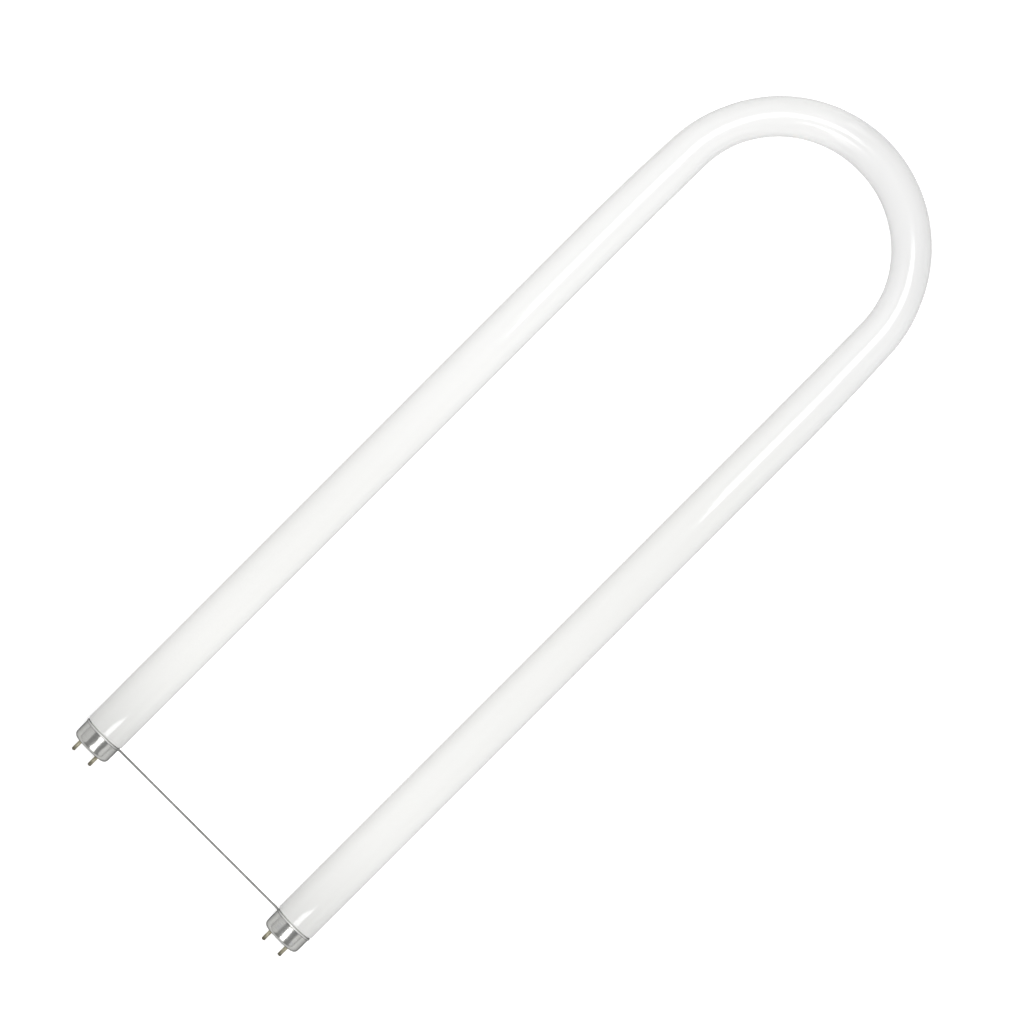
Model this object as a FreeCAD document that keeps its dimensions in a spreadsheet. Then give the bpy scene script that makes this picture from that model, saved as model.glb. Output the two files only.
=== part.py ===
import FreeCAD, Part

import math
import os

import Sketcher

# U-bent fluorescent lamp, lying flat on its two legs.
#
# Frame of the whole lamp: +X runs from the two bases to the bend, +Y across the legs and +Z up.
# X is zero halfway along the lamp, Y is zero halfway between the legs, and Z is zero under the legs.
# Each base end is drawn in a frame of its own: x is zero at the base's outer face and grows into
# the lamp along the leg's axis. Pins and lead wires are drawn from the pin's tip instead.

# Driving dimensions in millimetres. Each can be changed by itself.
DIMENSIONS = (
    # the whole lamp
    ("overall_length", 571.5, "pin tips to the outside of the bend"),
    ("leg_spacing", 152.4, "between the axes of the two legs"),
    ("tube_diameter", 25.6, "outside of the glass along the legs"),
    # the bend
    ("ease_length", 75.0, "stretch of leg that curves in to the bend and turns from round to oval"),
    ("bend_draw_in", 1.2, "leg's axis to the tube's axis where the bend begins"),
    ("straight_lead_in", 2.0, "straight stretch of the bent form before it eases"),
    ("entry_squeeze", 1.5, "tube is this much narrower where the bend begins"),
    ("waist_squeeze", 3.1, "and this much at its narrowest, a quarter of the way on to the apex"),
    ("apex_squeeze", 1.8, "and this much at the apex"),
    ("bend_flattening", 0.2, "tube is this much lower all round the bend"),
    # glass ends
    ("neck_inset", 1.5, "how far the neck, drawn in for the base, lies below the tube's surface"),
    ("lip_thickness", 2.0, "rolled edge where the tube and the stem flare are fused"),
    ("stem_depth", 18.0, "glass end to the bottom of the flared stem"),
    ("stem_well_diameter", 8.4, "inside of the flare at its bottom"),
    ("exhaust_diameter", 4.0, "sealed exhaust tube in the middle of the stem"),
    ("exhaust_reach", 1.4, "exhaust tube's tip beyond the glass end"),
    ("exhaust_gap", 1.45, "exhaust tube's tip to the back of the insulator"),
    # base shell
    ("cement_thickness", 0.5, "neck of the glass to the inside of the shell"),
    ("shell_length", 10.65, "outer face to the rim"),
    ("shell_wall", 0.4, "sheet thickness"),
    ("end_ring", 0.8, "flat ring of the end face, from its opening to the drawn corner"),
    ("opening_margin", 0.8, "shanks of the pins to the edge of that opening"),
    # insulator
    ("insulator_recess", 0.1, "insulator's face behind the shell's outer face"),
    ("insulator_land", 0.3, "straight edge behind the insulator's rounded corner"),
    ("seat_clearance", 0.05, "insulator to shell, and pin flange to insulator"),
    # contact pins
    ("pin_spacing", 12.7, "between the axes of the two pins"),
    ("pin_diameter", 2.35, "outside of a pin"),
    ("pin_length", 7.1, "base's outer face to the pin's tip"),
    ("pin_bore", 1.3, "inside of the tubular pin"),
    ("pin_tip_rounding", 0.7, "rounding of the tip that is closed on the lead"),
    ("pin_step", 0.175, "shank in the insulator stands proud of the pin, all round"),
    ("pin_flange_width", 0.45, "swaged flange of the pin's inner end beyond its shank"),
    ("pin_flange_thickness", 0.5, "thickness of that flange"),
    ("pin_fit", 0.01, "shank to its hole in the insulator, all round"),
    # lead wires
    ("lead_diameter", 0.6, "lead wire"),
    ("lead_fit", 0.01, "lead to the hole in the pin's tip, all round"),
    ("lead_bend_radius", 3.0, "bends of the lead"),
    ("lead_straight", 1.2, "straight stretch of the lead behind the pin"),
    ("lead_slope_length", 7.0, "length along the leg in which the lead steps out to the pin"),
    # basing cement
    ("cement_margin", 0.4, "cement's edge behind the shell's rim"),
    ("cement_setback", 0.6, "cement's other edge from the end of the glass"),
    ("bond_gap", 0.01, "cement to glass and to shell, all round"),
    # spacer wire
    ("wire_diameter", 1.3, "spacer wire"),
    ("wire_rim_gap", 0.05, "loop to the shell's rim"),
    ("wire_shoulder_gap", 0.1, "loop to the start of the glass shoulder"),
    ("loop_clearance", 0.05, "loop to the neck of the glass"),
    ("wire_bend_radius", 2.5, "bend between the straight wire and its loop"),
    ("loop_end_drop", 3.1, "loop's free end below the straight wire's axis"),
)

BEND_STEPS = 8  # sections in each quarter of the bend
EASE_STEPS = 5  # sections in each stretch of leg that eases into it
WAIST = 0.75  # the waist's place on the way from the apex to where the bend begins
UPRIGHT = FreeCAD.Rotation(FreeCAD.Vector(0, 0, 1), 90)  # turns an oval's long axis up
SIDES = {"left": 1, "right": -1}  # the leg at +Y is the left one, seen from the bases
PINS = {"outer": 1, "inner": -1}  # a base's pin away from the other leg, and the one towards it


class Size:
    """A length in millimetres together with the expression that the document binds it to."""

    def __init__(self, value, text):
        self.value = value
        self.text = text

    def joined(self, other, sign, value):
        text = other.text if isinstance(other, Size) else repr(other)
        return Size(value, "(%s %s %s)" % (self.text, sign, text))

    def __add__(self, other):
        return self.joined(other, "+", self.value + number(other))

    def __sub__(self, other):
        return self.joined(other, "-", self.value - number(other))

    def __mul__(self, other):
        return self.joined(other, "*", self.value * number(other))

    def __truediv__(self, other):
        return self.joined(other, "/", self.value / number(other))


def number(length):
    return length.value if isinstance(length, Size) else float(length)


def bind(thing, path, length):
    """Ties one property to its size; a plain number is simply left as it was set."""
    if isinstance(length, Size):
        thing.setExpression(path, length.text)


def write_sheet(doc):
    sheet = doc.addObject("Spreadsheet::Sheet", "dimensions")
    sizes = {}
    for row, (name, value, meaning) in enumerate(DIMENSIONS, start=1):
        sheet.set("A%d" % row, name)
        sheet.set("B%d" % row, str(value))
        sheet.setAlias("B%d" % row, name)
        sheet.set("C%d" % row, meaning)
        sizes[name] = Size(value, "dimensions.%s" % name)
    doc.recompute()
    return sizes


# Sketches


def place_point(sketch, geometry, end, point):
    """Dimensions one end of a line or arc from the sketch's two axes."""
    axes = {"DistanceX": (point[0], -2), "DistanceY": (point[1], -1)}
    for kind, (length, axis) in axes.items():
        if number(length) == 0:
            sketch.addConstraint(Sketcher.Constraint("PointOnObject", geometry, end, axis))
            continue
        made = sketch.addConstraint(Sketcher.Constraint(kind, -1, 1, geometry, end, number(length)))
        bind(sketch, "Constraints[%d]" % made, length)


def set_radius(sketch, geometry, radius):
    made = sketch.addConstraint(Sketcher.Constraint("Radius", geometry, number(radius)))
    bind(sketch, "Constraints[%d]" % made, radius)


def arc_between(start, stop, radius, bulge):
    """A circle's arc under half a turn; bulge is 1 where its centre lies left of the way from start."""
    start = FreeCAD.Vector(number(start[0]), number(start[1]), 0)
    stop = FreeCAD.Vector(number(stop[0]), number(stop[1]), 0)
    chord = stop - start
    rise = math.sqrt(max(number(radius) ** 2 - (chord.Length / 2) ** 2, 0))
    left = FreeCAD.Vector(-chord.y, chord.x, 0).normalize()
    centre = (start + stop) / 2 + left * rise * bulge
    first, last = (start, stop) if bulge > 0 else (stop, start)
    angles = [math.atan2(end.y - centre.y, end.x - centre.x) for end in (first, last)]
    circle = Part.Circle(centre, FreeCAD.Vector(0, 0, 1), number(radius))
    return Part.ArcOfCircle(circle, angles[0], angles[1])


def draw_outline(sketch, corners, arcs=None):
    """Closes an outline through the corners; arcs maps a corner's position to (radius, bulge)."""
    arcs = arcs or {}
    starts, stops = [], []
    for position, corner in enumerate(corners):
        following = corners[(position + 1) % len(corners)]
        if position in arcs:
            radius, bulge = arcs[position]
            made = sketch.addGeometry(arc_between(corner, following, radius, bulge))
            set_radius(sketch, made, radius)
            ends = (1, 2) if bulge > 0 else (2, 1)
        else:
            points = [FreeCAD.Vector(number(p[0]), number(p[1]), 0) for p in (corner, following)]
            made = sketch.addGeometry(Part.LineSegment(*points))
            ends = (1, 2)
        starts.append((made, ends[0]))
        stops.append((made, ends[1]))
    for position, corner in enumerate(corners):
        joined = stops[position - 1] + starts[position]
        sketch.addConstraint(Sketcher.Constraint("Coincident", *joined))
        place_point(sketch, *starts[position], corner)


def draw_circle(sketch, centre, diameter):
    where = FreeCAD.Vector(number(centre[0]), number(centre[1]), 0)
    circle = Part.Circle(where, FreeCAD.Vector(0, 0, 1), number(diameter) / 2)
    made = sketch.addGeometry(circle)
    place_point(sketch, made, 3, centre)
    set_radius(sketch, made, diameter / 2)


# Bodies


def new_body(doc, label):
    body = doc.addObject("PartDesign::Body", label)
    body.Label = label
    return body


def origin_plane(body, role):
    return next(item for item in body.Origin.OriginFeatures if item.Role == role)


def new_sketch(body, name, role):
    sketch = body.newObject("Sketcher::SketchObject", name)
    sketch.AttachmentSupport = [(origin_plane(body, role), "")]
    sketch.MapMode = "FlatFace"
    return sketch


def revolve(body, sketch):
    """Turns an outline, drawn above the sketch's horizontal axis, about that axis."""
    turned = body.newObject("PartDesign::Revolution", body.Label + "_turned")
    turned.Profile = sketch
    turned.ReferenceAxis = (sketch, ["H_Axis"])
    turned.Angle = 360
    return turned


def turned_body(doc, label, corners, arcs=None):
    body = new_body(doc, label)
    sketch = new_sketch(body, label + "_outline", "XY_Plane")
    draw_outline(sketch, corners, arcs)
    revolve(body, sketch)
    return body


def put(thing, x, y, z, rotation=None):
    where = FreeCAD.Vector(number(x), number(y), number(z))
    thing.Placement = FreeCAD.Placement(where, rotation or FreeCAD.Rotation())
    for path, length in ((".Placement.Base.x", x), (".Placement.Base.y", y), (".Placement.Base.z", z)):
        bind(thing, path, length)


# Places that several pieces share


def shared_places(d):
    """Planes, radii and diameters, worked out once from the driving dimensions."""
    places = dict(d)
    places["neck_diameter"] = d["tube_diameter"] - d["neck_inset"] * 2
    places["shell_diameter"] = places["neck_diameter"] + (d["cement_thickness"] + d["shell_wall"]) * 2
    places["shank_diameter"] = d["pin_diameter"] + d["pin_step"] * 2
    places["opening_diameter"] = d["pin_spacing"] + places["shank_diameter"] + d["opening_margin"] * 2
    flat_reach = places["opening_diameter"] / 2 + d["end_ring"]
    places["shell_shoulder"] = places["shell_diameter"] / 2 - flat_reach
    places["lead_offset"] = (d["exhaust_diameter"] + d["stem_well_diameter"]) / 4
    places["axis_height"] = d["tube_diameter"] / 2
    places["leg_offset"] = d["leg_spacing"] / 2
    places["tip_plane"] = d["overall_length"] / -2
    places["base_plane"] = places["tip_plane"] + d["pin_length"]
    places["wire_plane"] = d["shell_length"] + d["wire_rim_gap"] + d["wire_diameter"] / 2
    places["shoulder_start"] = places["wire_plane"] + d["wire_diameter"] / 2 + d["wire_shoulder_gap"]
    places["insulator_back"] = places["shell_shoulder"] + d["insulator_land"]
    places["glass_end"] = places["insulator_back"] + d["exhaust_gap"] + d["exhaust_reach"]
    places["pin_back"] = places["insulator_back"] + d["seat_clearance"] + d["pin_flange_thickness"]
    places.update(path_places(d, places["leg_offset"]))
    return places


def path_places(d, leg_offset):
    """Radii and points of the tube's path: an ease off each leg's axis, then the bend, all tangent arcs."""
    ease, draw_in = d["ease_length"], d["bend_draw_in"]
    entry_offset = leg_offset - draw_in
    # an ease turns the path by twice the angle whose tangent is draw_in over ease
    squares, difference = ease * ease + draw_in * draw_in, ease * ease - draw_in * draw_in
    bend_radius = entry_offset * squares / difference
    apex = d["overall_length"] - d["pin_length"] - (d["tube_diameter"] - d["apex_squeeze"]) / 2
    bend_start = apex - bend_radius + entry_offset * ease * draw_in * 2 / difference
    return {
        "entry_offset": entry_offset,
        "ease_radius": squares / (draw_in * 2),
        "bend_radius": bend_radius,
        "apex": apex,
        "bend_start": bend_start,
        "ease_start": bend_start - ease,
        "leg_end": bend_start - ease - d["straight_lead_in"],
    }


# Glass


def leg_profile(doc, d):
    """Half outline of a leg: stem well, rolled lip, neck, shoulder and the straight tube."""
    end = d["glass_end"]
    well_bottom = end + d["stem_depth"]
    neck = d["neck_diameter"] / 2
    tube = d["tube_diameter"] / 2
    lip = d["lip_thickness"] / 2
    exhaust = d["exhaust_diameter"] / 2
    exhaust_tip = end - d["exhaust_reach"]
    corners = [
        (exhaust_tip, 0),
        (exhaust_tip + exhaust, exhaust),
        (well_bottom, exhaust),
        (well_bottom, d["stem_well_diameter"] / 2),
        (end + lip, neck - d["lip_thickness"]),
        (end, neck - lip),
        (end + lip, neck),
        (d["shoulder_start"], neck),
        (d["shoulder_start"] + (tube - neck), tube),
        (d["leg_end"], tube),
        (d["leg_end"], 0),
    ]
    arcs = {
        0: (exhaust, -1),
        4: (lip, -1),
        5: (lip, -1),
        7: (tube - neck, -1),
    }
    sketch = doc.addObject("Sketcher::SketchObject", "leg_outline")
    draw_outline(sketch, corners, arcs)
    return sketch


def make_leg(doc, d, sketch, side):
    leg = doc.addObject("Part::Revolution", "leg_" + side)
    leg.Source = sketch
    leg.Axis = FreeCAD.Vector(1, 0, 0)
    leg.Angle = 360
    leg.Solid = True
    put(leg, 0, d["leg_offset"] * SIDES[side], 0)
    return leg


def draw_tube_path(sketch, d):
    """Axis of the tube from the right leg round to the left one: ease, two quarters of the bend, ease."""
    points = [
        (d["ease_start"], d["leg_offset"] * -1),
        (d["bend_start"], d["entry_offset"] * -1),
        (d["apex"], 0),
        (d["bend_start"], d["entry_offset"]),
        (d["ease_start"], d["leg_offset"]),
    ]
    radii = (d["ease_radius"], d["bend_radius"], d["bend_radius"], d["ease_radius"])
    arcs = []
    for start, stop, radius in zip(points, points[1:], radii):
        arcs.append(sketch.addGeometry(arc_between(start, stop, radius, 1)))
        set_radius(sketch, arcs[-1], radius)
    for before, after in zip(arcs, arcs[1:]):
        sketch.addConstraint(Sketcher.Constraint("Coincident", before, 2, after, 1))
    for arc, point in zip(arcs, points):
        place_point(sketch, arc, 1, point)
    place_point(sketch, arcs[-1], 2, points[-1])


def ease_squeeze(d, share):
    """Loss of width and of height of the tube along an ease; share is 0 at the leg and 1 at the bend."""
    return d["entry_squeeze"] * share**2, d["bend_flattening"] * share**2


def bend_squeeze(d, share):
    """The same round the bend; share is 0 at the apex and 1 where the bend begins."""
    if share <= WAIST:
        width = d["apex_squeeze"] + (d["waist_squeeze"] - d["apex_squeeze"]) * (share / WAIST)
    else:
        past_waist = (share - WAIST) / (1 - WAIST)
        width = d["waist_squeeze"] + (d["entry_squeeze"] - d["waist_squeeze"]) * past_waist
    return width, d["bend_flattening"]


def oval_section(doc, d, path, edge, along, squeeze, back=0):
    """One oval across the tube, upright, at a share of the way along one edge of its path.

    It is moved back from there, square to itself, by the length that back gives.
    """
    oval = doc.addObject("Part::Ellipse", "tube_section")
    width, height = d["tube_diameter"] - squeeze[0], d["tube_diameter"] - squeeze[1]
    oval.MajorRadius = number(height) / 2
    oval.MinorRadius = number(width) / 2
    bind(oval, "MajorRadius", height / 2)
    bind(oval, "MinorRadius", width / 2)
    oval.AttachmentSupport = [(path, edge)]
    oval.MapMode = "NormalToEdge"
    oval.MapPathParameter = along
    oval.AttachmentOffset = FreeCAD.Placement(FreeCAD.Vector(0, 0, number(back)), UPRIGHT)
    bind(oval, ".AttachmentOffset.Base.z", back)
    return oval


def tube_sections(doc, d, path):
    """Ovals along the whole path; share grows along an edge that rises and falls along the others."""
    edges = (
        ("Edge1", EASE_STEPS, ease_squeeze, True),
        ("Edge2", BEND_STEPS, bend_squeeze, False),
        ("Edge3", BEND_STEPS, bend_squeeze, True),
        ("Edge4", EASE_STEPS, ease_squeeze, False),
    )
    round_tube = ease_squeeze(d, 0)
    lead_in = d["straight_lead_in"]
    sections = [oval_section(doc, d, path, "Edge1", 0, round_tube, lead_in)]
    for edge, steps, law, rises in edges:
        for step in range(steps):
            share = step / steps if rises else 1 - step / steps
            sections.append(oval_section(doc, d, path, edge, step / steps, law(d, share)))
    sections.append(oval_section(doc, d, path, "Edge4", 1, round_tube))
    sections.append(oval_section(doc, d, path, "Edge4", 1, round_tube, lead_in * -1))
    return sections


def make_glass_tube(doc, d):
    sketch = leg_profile(doc, d)
    legs = [make_leg(doc, d, sketch, side) for side in SIDES]
    path = doc.addObject("Sketcher::SketchObject", "tube_path")
    draw_tube_path(path, d)
    bend = doc.addObject("Part::Loft", "bend")
    bend.Sections = tube_sections(doc, d, path)
    bend.Solid = True
    bend.Ruled = False
    glass = doc.addObject("Part::MultiFuse", "glass_tube")
    glass.Label = "glass_tube"
    glass.Shapes = legs + [bend]
    glass.Refine = True
    put(glass, d["base_plane"], 0, d["axis_height"])
    return glass


# Bases


def make_base_shell(doc, d, side):
    """Deep-drawn cup with a rounded corner and an opening in its end face."""
    outside = d["shell_diameter"] / 2
    inside = outside - d["shell_wall"]
    corner = outside - d["shell_shoulder"]
    opening = d["opening_diameter"] / 2
    corners = [
        (0, opening),
        (0, corner),
        (d["shell_shoulder"], outside),
        (d["shell_length"], outside),
        (d["shell_length"], inside),
        (d["shell_shoulder"], inside),
        (d["shell_wall"], corner),
        (d["shell_wall"], opening),
    ]
    arcs = {1: (d["shell_shoulder"], -1), 5: (d["shell_shoulder"] - d["shell_wall"], 1)}
    body = turned_body(doc, "base_shell_" + side, corners, arcs)
    put(body, d["base_plane"], d["leg_offset"] * SIDES[side], d["axis_height"])
    return body


def make_insulator(doc, d, side):
    """Moulded disc that fills the shell's end; its boss shows through the opening."""
    seat = d["shell_wall"] + d["seat_clearance"]
    edge = d["shell_diameter"] / 2 - seat
    corner = d["shell_diameter"] / 2 - d["shell_shoulder"]
    boss = d["opening_diameter"] / 2 - d["seat_clearance"]
    corners = [
        (d["insulator_recess"], 0),
        (d["insulator_recess"], boss),
        (seat, boss),
        (seat, corner),
        (d["shell_shoulder"], edge),
        (d["insulator_back"], edge),
        (d["insulator_back"], 0),
    ]
    body = turned_body(doc, "base_insulator_" + side, corners, {3: (d["shell_shoulder"] - seat, -1)})
    holes = new_sketch(body, body.Label + "_pin_holes", "YZ_Plane")
    hole = d["shank_diameter"] + d["pin_fit"] * 2
    for direction in PINS.values():
        draw_circle(holes, (d["pin_spacing"] / 2 * direction, 0), hole)
    pocket = body.newObject("PartDesign::Pocket", body.Label + "_pin_hole_cut")
    pocket.Profile = holes
    pocket.Type = "ThroughAll"
    pocket.Reversed = True
    put(body, d["base_plane"], d["leg_offset"] * SIDES[side], d["axis_height"])
    return body


def make_contact_pin(doc, d, side, pin):
    """Brass tube with a thicker shank and a swaged flange in the base, closed on the lead at its tip."""
    outside = d["pin_diameter"] / 2
    shank = d["shank_diameter"] / 2
    flange = shank + d["pin_flange_width"]
    bore = d["pin_bore"] / 2
    tip_hole = d["lead_diameter"] / 2 + d["lead_fit"]
    rounding = d["pin_tip_rounding"]
    step = d["pin_length"] + d["insulator_recess"]
    back = d["pin_length"] + d["pin_back"]
    seat = back - d["pin_flange_thickness"]
    corners = [
        (0, tip_hole),
        (0, outside - rounding),
        (rounding, outside),
        (step, outside),
        (step, shank),
        (seat, shank),
        (seat, flange),
        (back, flange),
        (back, bore),
        (rounding + bore, bore),
        (rounding, tip_hole),
    ]
    body = turned_body(doc, "contact_pin_%s_%s" % (side, pin), corners, {1: (rounding, -1)})
    offset = d["leg_offset"] + d["pin_spacing"] / 2 * PINS[pin]
    put(body, d["tip_plane"], offset * SIDES[side], d["axis_height"])
    return body


def make_cement(doc, d, side):
    """Ring of cement between the neck of the glass and the shell."""
    inside = d["neck_diameter"] / 2 + d["bond_gap"]
    outside = d["shell_diameter"] / 2 - d["shell_wall"] - d["bond_gap"]
    front = d["shell_length"] - d["cement_margin"]
    back = d["glass_end"] + d["cement_setback"]
    corners = [(back, inside), (back, outside), (front, outside), (front, inside)]
    body = turned_body(doc, "basing_cement_" + side, corners)
    put(body, d["base_plane"], d["leg_offset"] * SIDES[side], d["axis_height"])
    return body


# Wires


def draw_lead_path(sketch, d):
    """Straight through the pin, a sloping step in to the stem and straight down to its bottom."""
    bottom = d["pin_length"] + d["glass_end"] + d["stem_depth"]
    step_start = d["pin_length"] + d["pin_back"] + d["lead_straight"]
    step_end = step_start + d["lead_slope_length"]
    high, low = d["pin_spacing"] / 2, d["lead_offset"]
    radius = number(d["lead_bend_radius"])
    run, rise = number(step_end) - number(step_start), number(high) - number(low)
    # the two bends meet the slope where the run and the rise leave room for both
    slope = 2 * math.atan2(
        run - math.sqrt(max(run * run + rise * rise - 4 * radius * rise, 0)), 4 * radius - rise
    )
    turn_x, turn_y = radius * math.sin(slope), radius * (1 - math.cos(slope))
    p = [
        FreeCAD.Vector(0, number(high), 0),
        FreeCAD.Vector(number(step_start), number(high), 0),
        FreeCAD.Vector(number(step_start) + turn_x, number(high) - turn_y, 0),
        FreeCAD.Vector(number(step_end) - turn_x, number(low) + turn_y, 0),
        FreeCAD.Vector(number(step_end), number(low), 0),
        FreeCAD.Vector(number(bottom), number(low), 0),
    ]
    through_pin = sketch.addGeometry(Part.LineSegment(p[0], p[1]))
    first = sketch.addGeometry(arc_between(p[1][:2], p[2][:2], radius, -1))
    middle = sketch.addGeometry(Part.LineSegment(p[2], p[3]))
    second = sketch.addGeometry(arc_between(p[3][:2], p[4][:2], radius, 1))
    in_stem = sketch.addGeometry(Part.LineSegment(p[4], p[5]))
    tangents = (
        (through_pin, 2, first, 2),
        (first, 1, middle, 1),
        (middle, 2, second, 1),
        (second, 2, in_stem, 1),
    )
    for ends in tangents:
        sketch.addConstraint(Sketcher.Constraint("Tangent", *ends))
    for arc in (first, second):
        set_radius(sketch, arc, d["lead_bend_radius"])
    for line in (through_pin, in_stem):
        sketch.addConstraint(Sketcher.Constraint("Horizontal", line))
    place_point(sketch, through_pin, 1, (0, high))
    place_point(sketch, in_stem, 2, (bottom, low))
    for line, end, x in ((through_pin, 2, step_start), (in_stem, 1, step_end)):
        made = sketch.addConstraint(Sketcher.Constraint("DistanceX", -1, 1, line, end, number(x)))
        bind(sketch, "Constraints[%d]" % made, x)


def pipe_along(body, path, section):
    pipe = body.newObject("PartDesign::AdditivePipe", body.Label + "_pipe")
    pipe.Profile = section
    pipe.Spine = path
    return pipe


def make_lead_wire(doc, d, side, pin):
    body = new_body(doc, "lead_wire_%s_%s" % (side, pin))
    path = new_sketch(body, body.Label + "_path", "XY_Plane")
    draw_lead_path(path, d)
    section = new_sketch(body, body.Label + "_section", "YZ_Plane")
    draw_circle(section, (d["pin_spacing"] / 2, 0), d["lead_diameter"])
    pipe_along(body, path, section)
    over = FreeCAD.Rotation(FreeCAD.Vector(1, 0, 0), 0 if SIDES[side] * PINS[pin] > 0 else 180)
    put(body, d["tip_plane"], d["leg_offset"] * SIDES[side], d["axis_height"], over)
    return body


def draw_wire_path(sketch, d):
    """Half of the spacer wire: straight from the middle, a small bend, then a loop round the neck."""
    bend = d["wire_bend_radius"]
    loop = d["neck_diameter"] / 2 + d["loop_clearance"] + d["wire_diameter"] / 2
    leg, drop = number(d["leg_offset"]), number(d["loop_end_drop"])
    reach = math.sqrt((number(loop) + number(bend)) ** 2 - number(bend) ** 2)
    lean = math.atan2(number(bend), reach)
    upward = FreeCAD.Vector(0, 0, 1)
    straight = sketch.addGeometry(
        Part.LineSegment(FreeCAD.Vector(0, 0, 0), FreeCAD.Vector(leg - reach, 0, 0))
    )
    corner = sketch.addGeometry(
        Part.ArcOfCircle(
            Part.Circle(FreeCAD.Vector(leg - reach, number(bend), 0), upward, number(bend)),
            -math.pi / 2,
            -lean,
        )
    )
    free_end = math.asin(drop / number(loop)) - math.pi
    ring = sketch.addGeometry(
        Part.ArcOfCircle(
            Part.Circle(FreeCAD.Vector(leg, 0, 0), upward, number(loop)), free_end, math.pi - lean
        )
    )
    sketch.addConstraint(Sketcher.Constraint("Coincident", straight, 1, -1, 1))
    sketch.addConstraint(Sketcher.Constraint("Horizontal", straight))
    sketch.addConstraint(Sketcher.Constraint("Tangent", straight, 2, corner, 1))
    sketch.addConstraint(Sketcher.Constraint("Tangent", corner, 2, ring, 2))
    set_radius(sketch, corner, bend)
    set_radius(sketch, ring, loop)
    place_point(sketch, ring, 3, (d["leg_offset"], 0))
    made = sketch.addConstraint(Sketcher.Constraint("DistanceY", ring, 1, -1, 1, drop))
    bind(sketch, "Constraints[%d]" % made, d["loop_end_drop"])


def make_spacer_wire(doc, d):
    """One wire, bent to a loop round the neck of each leg, with a straight run between them."""
    body = new_body(doc, "spacer_wire")
    path = new_sketch(body, "spacer_wire_path", "YZ_Plane")
    draw_wire_path(path, d)
    section = new_sketch(body, "spacer_wire_section", "XZ_Plane")
    draw_circle(section, (0, 0), d["wire_diameter"])
    half = pipe_along(body, path, section)
    whole = body.newObject("PartDesign::Mirrored", "spacer_wire_whole")
    whole.Originals = [half]
    whole.MirrorPlane = (origin_plane(body, "XZ_Plane"), [""])
    body.Tip = whole
    put(body, d["base_plane"] + d["wire_plane"], 0, d["axis_height"])
    return body


# The whole lamp


def make_lamp(doc):
    d = shared_places(write_sheet(doc))
    pieces = [make_glass_tube(doc, d), make_spacer_wire(doc, d)]
    for side in SIDES:
        pieces.append(make_base_shell(doc, d, side))
        pieces.append(make_insulator(doc, d, side))
        pieces.append(make_cement(doc, d, side))
        for pin in PINS:
            pieces.append(make_contact_pin(doc, d, side, pin))
            pieces.append(make_lead_wire(doc, d, side, pin))
    doc.recompute()
    return pieces


def check(doc, pieces):
    for thing in doc.Objects:
        if "Invalid" in thing.State or "Error" in thing.State:
            raise RuntimeError("%s failed: %s" % (thing.Label, thing.State))
    for piece in pieces:
        shape = piece.Shape
        if shape.isNull() or not shape.isValid() or len(shape.Solids) != 1:
            raise RuntimeError("%s isn't one valid solid" % piece.Label)


def write_steps(pieces):
    os.makedirs("parts", exist_ok=True)
    for piece in pieces:
        piece.Shape.exportStep("parts/%s.step" % piece.Label)
        box = piece.Shape.optimalBoundingBox(False)
        print("%-26s %12.3f mm3  x %8.3f..%8.3f  y %8.3f..%8.3f  z %7.3f..%7.3f" % (
            piece.Label, piece.Shape.Volume, box.XMin, box.XMax, box.YMin, box.YMax, box.ZMin, box.ZMax))


doc = FreeCAD.newDocument("u_bent_lamp")
pieces = make_lamp(doc)
check(doc, pieces)
write_steps(pieces)
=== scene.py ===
"""Looks, floor, light and camera for the U-bent fluorescent lamp.

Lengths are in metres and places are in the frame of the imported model: +X runs from the two bases
to the bend, +Y across the legs and +Z up. The lamp lies on the floor at z = 0.
"""

import math

import bpy
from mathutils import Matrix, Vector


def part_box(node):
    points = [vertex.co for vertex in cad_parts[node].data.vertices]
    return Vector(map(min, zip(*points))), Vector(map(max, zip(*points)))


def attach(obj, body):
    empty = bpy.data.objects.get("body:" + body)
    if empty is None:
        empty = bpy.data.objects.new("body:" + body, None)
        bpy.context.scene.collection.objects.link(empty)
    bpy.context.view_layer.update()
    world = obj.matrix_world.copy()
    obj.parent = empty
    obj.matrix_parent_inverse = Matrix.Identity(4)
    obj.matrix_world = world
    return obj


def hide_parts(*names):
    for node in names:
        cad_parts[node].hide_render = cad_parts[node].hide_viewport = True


MM = 0.001
BODY = "root"
SIDES = ("left", "right")

# Tube, in millimetres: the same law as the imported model's
EASE_LENGTH = 75.0  # stretch of leg that curves in to the bend and turns from round to oval
BEND_DRAW_IN = 1.2
ENTRY_SQUEEZE = 1.5
WAIST_SQUEEZE = 3.1
APEX_SQUEEZE = 1.8
WAIST = 0.75  # share of the way from the apex to the start of the bend
BEND_FLATTENING = 0.2
NECK_INSET = 1.5
LIP_THICKNESS = 2.0
STEM_DEPTH = 18.0
STEM_WELL_RADIUS = 4.2
EXHAUST_RADIUS = 2.0
EXHAUST_REACH = 1.4
SHOULDER_START = 6.05  # from the end of the glass

# Rings of the glass mesh along one leg, and the points in each
EXHAUST_RINGS = 8
LIP_RINGS = 16
SHOULDER_RINGS = 12
LEG_RINGS = 20
EASE_RINGS = 16
BEND_RINGS = 60  # from the start of the bend to its apex
ROUND = 96
SHARP_EDGE = math.radians(32)

# Places where a finish changes
BEND_CENTRE_X = 0.19881
GLASS_SHOULDER_X = (-0.2663, -0.2657)  # where the glass turns in under the wire's loop
BASE_SHADE_START_X = -0.165
BASE_SHADE_LENGTH = 0.103
PIN_TIP_X = (-0.2852, -0.2815)
WIRE_LOOP_Y = (0.0605, 0.0645)  # where the wire runs on to its loops
# heights over which the loops' painted light rises to their tops
WIRE_LOOP_Z = (0.0165, 0.0252)

# Mix node: the places of its colour sockets
MIX_FIRST, MIX_SECOND, MIX_RESULT = 6, 7, 2

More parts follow.
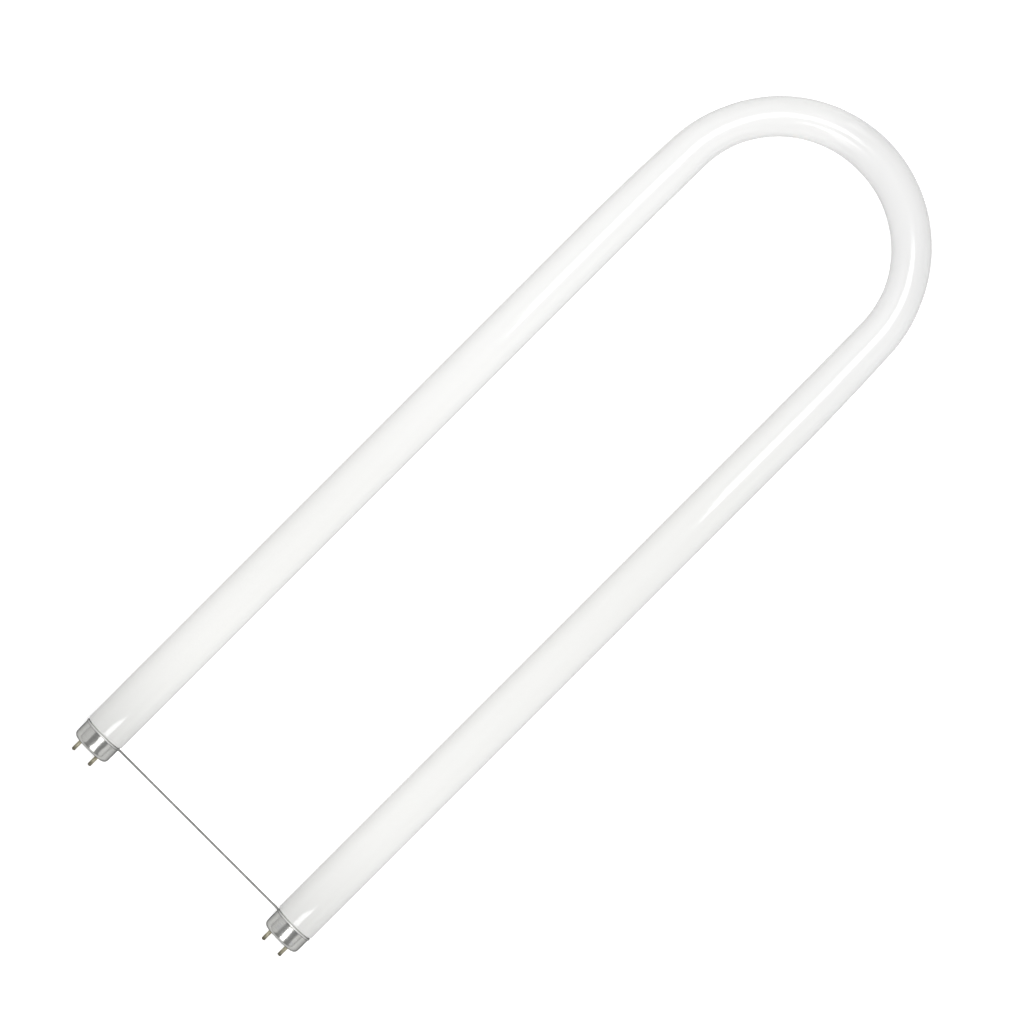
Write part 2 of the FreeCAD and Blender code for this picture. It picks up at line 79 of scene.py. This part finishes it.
FLOOR_HALF = 40.0
FLOOR_GLOW = 0.30

# World light: levels by direction from -Y (0) to +Y (1), and a pale band along the horizon
SKY_STRENGTH = 1.15
SKY = ((0.0, 1.10), (0.07, 1.10), (0.105, 0.35), (0.76, 0.35), (0.80, 0.90), (1.0, 0.90))
HORIZON_LEVEL = 0.8
HORIZON_TOP_Z = (0.1, 0.3)

# Name, place, size and radiance of each rectangle of light, which faces down until it is turned by
# degrees about X, Y and Z
SOFTBOXES = (
    ("softbox_bend", (0.35, -0.12, 1.5), (0.46, 0.78), 6.8, (0, 0, -3)),
    ("softbox_bases", (-0.709, -0.285, 1.5), (0.50, 0.70), 7.0, (0, 0, 3)),
    ("fill_beyond_bend", (1.7, 0.0, 0.9), (1.2, 0.8), 2.2, (0, 90, 0)),
    ("fill_beyond_bases", (-1.36, -0.28, 1.13), (1.1, 0.7), 2.6, (0, -43, 0)),
)

CAMERA_PLACE = (-0.01418, 0.00155, 2.2368)
CAMERA_TURN = math.radians(-45)
CAMERA_LENS = 137.8  # mm, on a sensor 36 mm wide
CAMERA_REACH = 100.0

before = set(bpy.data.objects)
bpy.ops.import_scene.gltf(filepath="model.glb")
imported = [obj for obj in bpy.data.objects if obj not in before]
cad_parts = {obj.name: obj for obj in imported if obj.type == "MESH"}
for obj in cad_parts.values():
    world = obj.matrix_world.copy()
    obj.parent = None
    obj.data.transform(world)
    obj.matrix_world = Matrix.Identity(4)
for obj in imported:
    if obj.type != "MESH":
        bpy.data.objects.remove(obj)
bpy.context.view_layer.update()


# Nodes


def grey(level):
    return (level, level, level, 1)


def tint(red, green, blue):
    return (red, green, blue, 1)


class Nodes:
    """Short ways to add shader nodes to a tree.

    A keyword names a socket, with _ for each space. A socket takes a number, a colour, a vector or
    another node's output.
    """

    def __init__(self, tree):
        self.tree = tree

    def feed(self, socket, value):
        if isinstance(value, bpy.types.NodeSocket):
            self.tree.links.new(value, socket)
        else:
            socket.default_value = value

    def fill(self, node, **sockets):
        for name, value in sockets.items():
            self.feed(node.inputs[name.replace("_", " ")], value)
        return node

    def node(self, kind, settings=None, **sockets):
        made = self.tree.nodes.new("ShaderNode" + kind)
        for name, value in (settings or {}).items():
            setattr(made, name, value)
        return self.fill(made, **sockets)

    def math(self, operation, first, second=0.0, clamp=False):
        made = self.node("Math", {"operation": operation, "use_clamp": clamp})
        self.feed(made.inputs[0], first)
        self.feed(made.inputs[1], second)
        return made.outputs[0]

    def product(self, first, *others):
        for other in others:
            first = self.math("MULTIPLY", first, other)
        return first

    def spread(self, value, span, to=(0.0, 1.0)):
        """to[0] below the span of the value and to[1] above it, with a smooth change between."""
        ends = {"From_Min": span[0], "From_Max": span[1], "To_Min": to[0], "To_Max": to[1]}
        smooth = {"interpolation_type": "SMOOTHSTEP"}
        return self.node("MapRange", smooth, Value=value, **ends).outputs["Result"]

    def mix(self, share, first, second):
        made = self.node("Mix", {"data_type": "RGBA"}, Factor=share)
        self.feed(made.inputs[MIX_FIRST], first)
        self.feed(made.inputs[MIX_SECOND], second)
        return made.outputs[MIX_RESULT]


class Material(Nodes):
    """A material with one Principled shader."""

    def __init__(self, name, **sockets):
        self.material = bpy.data.materials.new(name)
        self.material.use_nodes = True
        super().__init__(self.material.node_tree)
        self.shader = self.tree.nodes["Principled BSDF"]
        self.place = self.node("TexCoord").outputs["Object"]
        self.set(**sockets)

    def set(self, **sockets):
        self.fill(self.shader, **sockets)
        return self.material

    def axes(self):
        return self.node("SeparateXYZ", Vector=self.place).outputs

    def noise(self, scale, detail, roughness=0.5, stretch=None):
        """Noise by place; stretch scales each axis first, for a grain that runs one way."""
        place = self.place
        if stretch is not None:
            scaled = self.node("VectorMath", {"operation": "MULTIPLY"})
            self.feed(scaled.inputs[0], place)
            self.feed(scaled.inputs[1], stretch)
            place = scaled.outputs[0]
        made = self.node("TexNoise", Vector=place, Scale=scale, Detail=detail, Roughness=roughness)
        return made.outputs["Fac"]

    def layers(self, colour, *others):
        """A colour with others over it in turn, each given as (share, colour)."""
        for share, other in others:
            colour = self.mix(share, colour, other)
        return colour

    def bump(self, height, distance, over=None):
        made = self.node("Bump", Height=height, Distance=distance, Strength=1.0)
        if over is not None:
            self.fill(made, Normal=over)
        return made.outputs["Normal"]


# Finishes


def coated_glass():
    """Clear glass over white powder, greyer near the bases and dull on one patch of the bend.

    The coat takes more light the flatter it is looked at, so its tint shades the outlines.
    """
    m = Material("coated_glass", IOR=1.5, Coat_Weight=1.0, Coat_Roughness=0.03, Coat_IOR=1.02)
    x, y, _ = m.axes()
    turn = m.math("ARCTAN2", y, m.math("SUBTRACT", x, BEND_CENTRE_X))  # 0 at the apex
    powder = m.noise(900.0, detail=3.0)
    clouds = m.noise(14.0, detail=2.0, stretch=(0.35, 1, 1))
    ripple = m.noise(40.0, detail=1.0, stretch=(0.12, 1, 1))
    to_base = m.math("SUBTRACT", BASE_SHADE_START_X, x)
    near_base = m.math("DIVIDE", to_base, BASE_SHADE_LENGTH, clamp=True)
    # painted shade: the apex and the right half of the bend are coloured greyer
    painted_shade_right_of_bend = m.product(
        m.spread(x, (0.205, 0.25), to=(0.0, 0.6)),
        m.spread(turn, (0.1, 0.55), to=(1.0, 0.15)),
    )
    # painted light: the left leg is coloured lighter from its middle up into the bend
    painted_light_left_leg = m.product(m.spread(x, (-0.12, 0.06), to=(0.0, 0.8)), m.spread(turn, (0.1, 0.5)))
    dull = m.product(
        m.spread(turn, (-1.05, -0.5)),
        m.spread(turn, (-0.15, 0.45), to=(1.0, 0.0)),
        m.spread(x, (0.20, 0.215)),
    )
    colour = m.layers(
        tint(0.878, 0.877, 0.86),
        (m.spread(powder, (0.3, 0.7)), tint(0.893, 0.892, 0.875)),
        (m.spread(clouds, (0.35, 0.65), to=(0.0, 0.4)), tint(0.869, 0.869, 0.854)),
        # painted shade: the right leg is coloured a shade darker than the left
        (m.spread(y, (-0.06, 0.04), to=(0.5, 0.0)), tint(0.827, 0.827, 0.813)),  # right leg
        (m.math("POWER", near_base, 2.3), tint(0.668, 0.668, 0.654)),
        (m.spread(x, (0.05, 0.22), to=(0.0, 0.8)), tint(0.879, 0.878, 0.876)),  # toward the bend
        (painted_shade_right_of_bend, tint(0.81, 0.81, 0.808)),
        (painted_light_left_leg, tint(0.936, 0.935, 0.926)),
        # painted light: the neck under the wire's loop is coloured lighter, against the shade in
        # that crevice
        (m.spread(x, GLASS_SHOULDER_X, to=(0.6, 0.0)), tint(0.9, 0.9, 0.885)),
    )
    return m.set(
        Base_Color=colour,
        Roughness=m.spread(dull, (0.0, 1.0), to=(0.05, 0.24)),
        Specular_Tint=m.mix(m.spread(dull, (0.0, 1.0)), grey(1.0), grey(0.06)),
        # painted light: the coat's tint clears on the neck, so the shaded crevice there reads
        # lighter
        Coat_Tint=m.mix(m.spread(x, GLASS_SHOULDER_X), grey(1.0), grey(0.874)),
        Normal=m.bump(ripple, distance=0.00002),
    )


def drawn_aluminium():
    """Bright metal with lines drawn round the shell, smudged and slightly wavy."""
    m = Material(
        "drawn_aluminium",
        Metallic=1.0,
        Anisotropic=0.6,
        Anisotropic_Rotation=0.25,
        Coat_Weight=1.0,
        Coat_IOR=1.0,
        # painted shade: the grey coat darkens the shell toward its outlines
        Coat_Tint=grey(0.65),
    )
    lines = m.noise(60.0, detail=4.0, roughness=0.7, stretch=(60, 1.5, 1.5))
    smudge = m.noise(180.0, detail=3.0, roughness=0.6)
    waves = m.noise(90.0, detail=1.0)
    colour = m.layers(
        tint(0.68, 0.68, 0.65),
        (m.spread(lines, (0.3, 0.7)), tint(0.78, 0.78, 0.755)),
        (m.spread(smudge, (0.5, 0.75), to=(0.0, 0.35)), tint(0.58, 0.59, 0.63)),
    )
    return m.set(
        Base_Color=colour,
        Roughness=m.spread(smudge, (0.38, 0.62), to=(0.18, 0.265)),
        Tangent=m.node("Tangent", {"direction_type": "RADIAL", "axis": "X"}).outputs[0],
        Normal=m.bump(lines, distance=0.00001, over=m.bump(waves, distance=0.0005)),
    )


def pin_brass():
    """Dull brass, darkened toward the tips."""
    m = Material("dull_brass", Metallic=1.0)
    x, _, _ = m.axes()
    grain = m.noise(700.0, detail=3.0, roughness=0.6)
    colour = m.layers(
        tint(0.35, 0.33, 0.25),
        (m.spread(grain, (0.35, 0.7)), tint(0.22, 0.205, 0.145)),
        # painted shade: the brass is coloured near black toward the tips
        (m.spread(x, PIN_TIP_X, to=(0.8, 0.0)), tint(0.05, 0.045, 0.03)),
    )
    return m.set(
        Base_Color=colour,
        Roughness=m.spread(grain, (0.3, 0.7), to=(0.28, 0.5)),
        Normal=m.bump(grain, distance=0.00002),
    )


def drawn_steel():
    """Dull wire with streaks along it; painted light makes its loops lighter than the straight run
    and brightest on top.
    """
    # painted shade: the grey coat darkens the wire toward its outlines
    m = Material("drawn_steel", Metallic=1.0, Coat_Weight=1.0, Coat_IOR=1.0, Coat_Tint=grey(0.85))
    _, y, z = m.axes()
    streaks = m.noise(90.0, detail=4.0, roughness=0.65, stretch=(6, 0.3, 6))
    mottle = m.noise(500.0, detail=2.0)
    grain = m.spread(streaks, (0.3, 0.7))
    dull = m.mix(grain, tint(0.17, 0.17, 0.162), tint(0.285, 0.285, 0.275))
    # painted light: the loops are coloured lighter than the straight run, and brightest on top
    painted_light_loop_top = m.mix(grain, tint(0.70, 0.70, 0.682), tint(0.80, 0.80, 0.782))
    loop = m.mix(m.spread(z, WIRE_LOOP_Z), tint(0.33, 0.33, 0.32), painted_light_loop_top)
    return m.set(
        Base_Color=m.mix(m.spread(m.math("ABSOLUTE", y), WIRE_LOOP_Y), dull, loop),
        Roughness=m.spread(mottle, (0.3, 0.7), to=(0.42, 0.58)),
        Normal=m.bump(streaks, distance=0.00003),
    )


def moulded_phenolic():
    """Brown moulded resin with a fine filler and darker flow marks."""
    m = Material("moulded_phenolic")
    grain = m.noise(1500.0, detail=3.0, roughness=0.6)
    flow = m.noise(160.0, detail=2.0)
    colour = m.layers(
        tint(0.10, 0.042, 0.018),
        (m.spread(grain, (0.4, 0.7)), tint(0.17, 0.078, 0.036)),
        (m.spread(flow, (0.4, 0.7), to=(0.0, 0.5)), tint(0.075, 0.032, 0.015)),
    )
    return m.set(
        Base_Color=colour,
        Roughness=m.spread(flow, (0.3, 0.7), to=(0.42, 0.6)),
        Normal=m.bump(grain, distance=0.00003),
    )


def basing_cement():
    """Gritty tan cement."""
    m = Material("basing_cement", Roughness=0.9)
    grain = m.noise(1200.0, detail=4.0, roughness=0.7)
    colour = m.mix(m.spread(grain, (0.35, 0.7)), tint(0.42, 0.35, 0.24), tint(0.56, 0.48, 0.34))
    return m.set(Base_Color=colour, Normal=m.bump(grain, distance=0.00008))


def tinned_wire():
    """Mottled tin on copper."""
    m = Material("tinned_wire", Metallic=1.0)
    grain = m.noise(1500.0, detail=2.0)
    colour = m.mix(m.spread(grain, (0.35, 0.7)), tint(0.40, 0.39, 0.37), tint(0.55, 0.54, 0.51))
    return m.set(Base_Color=colour, Roughness=m.spread(grain, (0.3, 0.7), to=(0.3, 0.45)))


def dress(node, material):
    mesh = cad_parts[node].data
    mesh.materials.clear()
    mesh.materials.append(material)


# Glass


def end_profile(tube):
    """(distance from the end of the glass, radius) from the exhaust tube's tip to the full tube."""
    neck = tube - NECK_INSET
    lip = LIP_THICKNESS / 2
    profile = []
    for ring in range(1, EXHAUST_RINGS + 1):
        turn = math.pi / 2 * ring / EXHAUST_RINGS
        along = EXHAUST_RADIUS * (1 - math.cos(turn)) - EXHAUST_REACH
        profile.append((along, EXHAUST_RADIUS * math.sin(turn)))
    profile += [(STEM_DEPTH, EXHAUST_RADIUS), (STEM_DEPTH, STEM_WELL_RADIUS)]
    for ring in range(LIP_RINGS + 1):
        turn = math.pi * ring / LIP_RINGS
        profile.append((lip - lip * math.sin(turn), neck - lip - lip * math.cos(turn)))
    profile.append((SHOULDER_START, neck))
    for ring in range(1, SHOULDER_RINGS + 1):
        turn = math.pi / 2 * ring / SHOULDER_RINGS
        along = SHOULDER_START + NECK_INSET * (1 - math.cos(turn))
        profile.append((along, neck + NECK_INSET * math.sin(turn)))
    return profile


def bend_width_loss(share):
    """Loss of width round the bend; share is 0 at the apex and 1 where the bend begins."""
    if share <= WAIST:
        return APEX_SQUEEZE + (WAIST_SQUEEZE - APEX_SQUEEZE) * share / WAIST
    past = (share - WAIST) / (1 - WAIST)
    return WAIST_SQUEEZE + (ENTRY_SQUEEZE - WAIST_SQUEEZE) * past


def left_rings(glass_end, leg_offset, tube, apex):
    """(x, y, heading, half width, half height) of rings from the left leg's end to the apex."""
    rings = [
        (glass_end + along, leg_offset, 0.0, radius, radius)
        for along, radius in end_profile(tube)
    ]
    ease_turn = 2 * math.atan(BEND_DRAW_IN / EASE_LENGTH)
    ease_radius = EASE_LENGTH / math.sin(ease_turn)
    bend_radius = (leg_offset - BEND_DRAW_IN) / math.cos(ease_turn)
    bend_centre = apex - bend_radius
    leg_start = rings[-1][0]
    ease_start = bend_centre + bend_radius * math.sin(ease_turn) - EASE_LENGTH
    for ring in range(1, LEG_RINGS):
        x = leg_start + (ease_start - leg_start) * ring / LEG_RINGS
        rings.append((x, leg_offset, 0.0, tube, tube))
    for ring in range(EASE_RINGS):
        share = ring / EASE_RINGS
        turn = ease_turn * share
        width = tube - ENTRY_SQUEEZE * share**2 / 2
        height = tube - BEND_FLATTENING * share**2 / 2
        x = ease_start + ease_radius * math.sin(turn)
        y = leg_offset - ease_radius * (1 - math.cos(turn))
        rings.append((x, y, -turn, width, height))
    quarter = math.pi / 2 - ease_turn
    for ring in range(BEND_RINGS, -1, -1):
        share = ring / BEND_RINGS
        turn = quarter * share
        width = tube - bend_width_loss(share) / 2
        height = tube - BEND_FLATTENING / 2
        x = bend_centre + bend_radius * math.cos(turn)
        rings.append((x, bend_radius * math.sin(turn), turn - math.pi / 2, width, height))
    return rings


def glass_mesh():
    """Points and faces of the whole glass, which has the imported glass's size and place."""
    low, high = (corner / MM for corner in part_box("glass_tube"))
    tube = (high.z - low.z) / 2
    leg_offset = high.y - tube
    glass_end = low.x + EXHAUST_REACH
    apex = high.x - tube + APEX_SQUEEZE / 2
    left = left_rings(glass_end, leg_offset, tube, apex)
    right = [
        (x, -y, -math.pi - heading, width, height)
        for x, y, heading, width, height in left[-2::-1]
    ]
    rings = left + right
    points, faces = [], []
    for x, y, heading, width, height in rings:
        for step in range(ROUND):
            turn = 2 * math.pi * step / ROUND
            across = width * math.cos(turn)
            up = tube + height * math.sin(turn)
            points.append((x - across * math.sin(heading), y + across * math.cos(heading), up))
    for ring in range(len(rings) - 1):
        for step in range(ROUND):
            here, there = ring * ROUND + step, ring * ROUND + (step + 1) % ROUND
            faces.append((here, here + ROUND, there + ROUND, there))
    for side, first, order in ((1, 0, 1), (-1, len(points) - ROUND, -1)):
        tip = len(points)
        points.append((glass_end - EXHAUST_REACH, side * leg_offset, tube))
        for step in range(ROUND):
            pair = (first + step, first + (step + 1) % ROUND)[::order]
            faces.append((tip, *pair))
    return [tuple(value * MM for value in point) for point in points], faces


def make_glass(material):
    points, faces = glass_mesh()
    mesh = bpy.data.meshes.new("glass_bulb")
    mesh.from_pydata(points, [], faces)
    mesh.shade_smooth()
    mesh.set_sharp_from_angle(angle=SHARP_EDGE)
    mesh.materials.append(material)
    piece = bpy.data.objects.new("glass_bulb", mesh)
    bpy.context.scene.collection.objects.link(piece)
    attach(piece, BODY)
    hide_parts("glass_tube")


# Stage


def make_floor():
    m = Material("pale_floor", Roughness=0.9, Specular_IOR_Level=0.0)
    m.set(
        Base_Color=m.mix(m.noise(3.0, detail=2.0), grey(0.88), grey(0.90)),
        Emission_Color=grey(1.0),
        Emission_Strength=FLOOR_GLOW,
    )
    corners = [(x * FLOOR_HALF, y * FLOOR_HALF, 0) for x, y in ((-1, -1), (1, -1), (1, 1), (-1, 1))]
    mesh = bpy.data.meshes.new("floor")
    mesh.from_pydata(corners, [], [(0, 1, 2, 3)])
    mesh.materials.append(m.material)
    floor = bpy.data.objects.new("floor", mesh)
    bpy.context.scene.collection.objects.link(floor)


def make_sky():
    world = bpy.data.worlds.new("studio")
    world.use_nodes = True
    bpy.context.scene.world = world
    nodes = Nodes(world.node_tree)
    coordinates = nodes.node("TexCoord")
    direction = nodes.node("SeparateXYZ", Vector=coordinates.outputs["Generated"]).outputs
    across = nodes.node("MapRange", Value=direction["Y"], From_Min=-1.0)
    ramp = nodes.node("ValToRGB", Fac=across.outputs["Result"])
    elements = ramp.color_ramp.elements
    while len(elements) < len(SKY):
        elements.new(0.5)  # its place is set below
    for element, (place, level) in zip(elements, SKY):
        element.position = place
        element.color = grey(level)
    low = nodes.spread(direction["Z"], HORIZON_TOP_Z, to=(1.0, 0.0))
    light = nodes.mix(low, ramp.outputs["Color"], grey(HORIZON_LEVEL))
    nodes.fill(world.node_tree.nodes["Background"], Color=light, Strength=SKY_STRENGTH)


def make_softbox(name, place, size, radiance, turn):
    data = bpy.data.lights.new(name, "AREA")
    data.shape = "RECTANGLE"
    data.size, data.size_y = size
    data.energy = radiance * math.pi * size[0] * size[1]  # watts of an area light
    light = bpy.data.objects.new(name, data)
    light.location = place
    light.rotation_euler = [math.radians(angle) for angle in turn]
    bpy.context.scene.collection.objects.link(light)


def make_camera():
    """Looks straight down, turned so that the legs run up to the right at 45 degrees."""
    data = bpy.data.cameras.new("camera")
    data.sensor_width = 36.0
    data.lens = CAMERA_LENS
    data.clip_end = CAMERA_REACH
    camera = bpy.data.objects.new("camera", data)
    camera.location = CAMERA_PLACE
    camera.rotation_euler = (0, 0, CAMERA_TURN)
    bpy.context.scene.collection.objects.link(camera)
    bpy.context.scene.camera = camera


make_glass(coated_glass())

finishes = {
    "base_shell_%s": drawn_aluminium(),
    "base_insulator_%s": moulded_phenolic(),
    "basing_cement_%s": basing_cement(),
    "contact_pin_%s_outer": pin_brass(),
    "lead_wire_%s_outer": tinned_wire(),
}
finishes["contact_pin_%s_inner"] = finishes["contact_pin_%s_outer"]
finishes["lead_wire_%s_inner"] = finishes["lead_wire_%s_outer"]
for pattern, finish in finishes.items():
    for side in SIDES:
        dress(pattern % side, finish)
dress("spacer_wire", drawn_steel())

make_floor()
make_sky()
for softbox in SOFTBOXES:
    make_softbox(*softbox)
make_camera()

bpy.context.scene.view_settings.view_transform = "Standard"
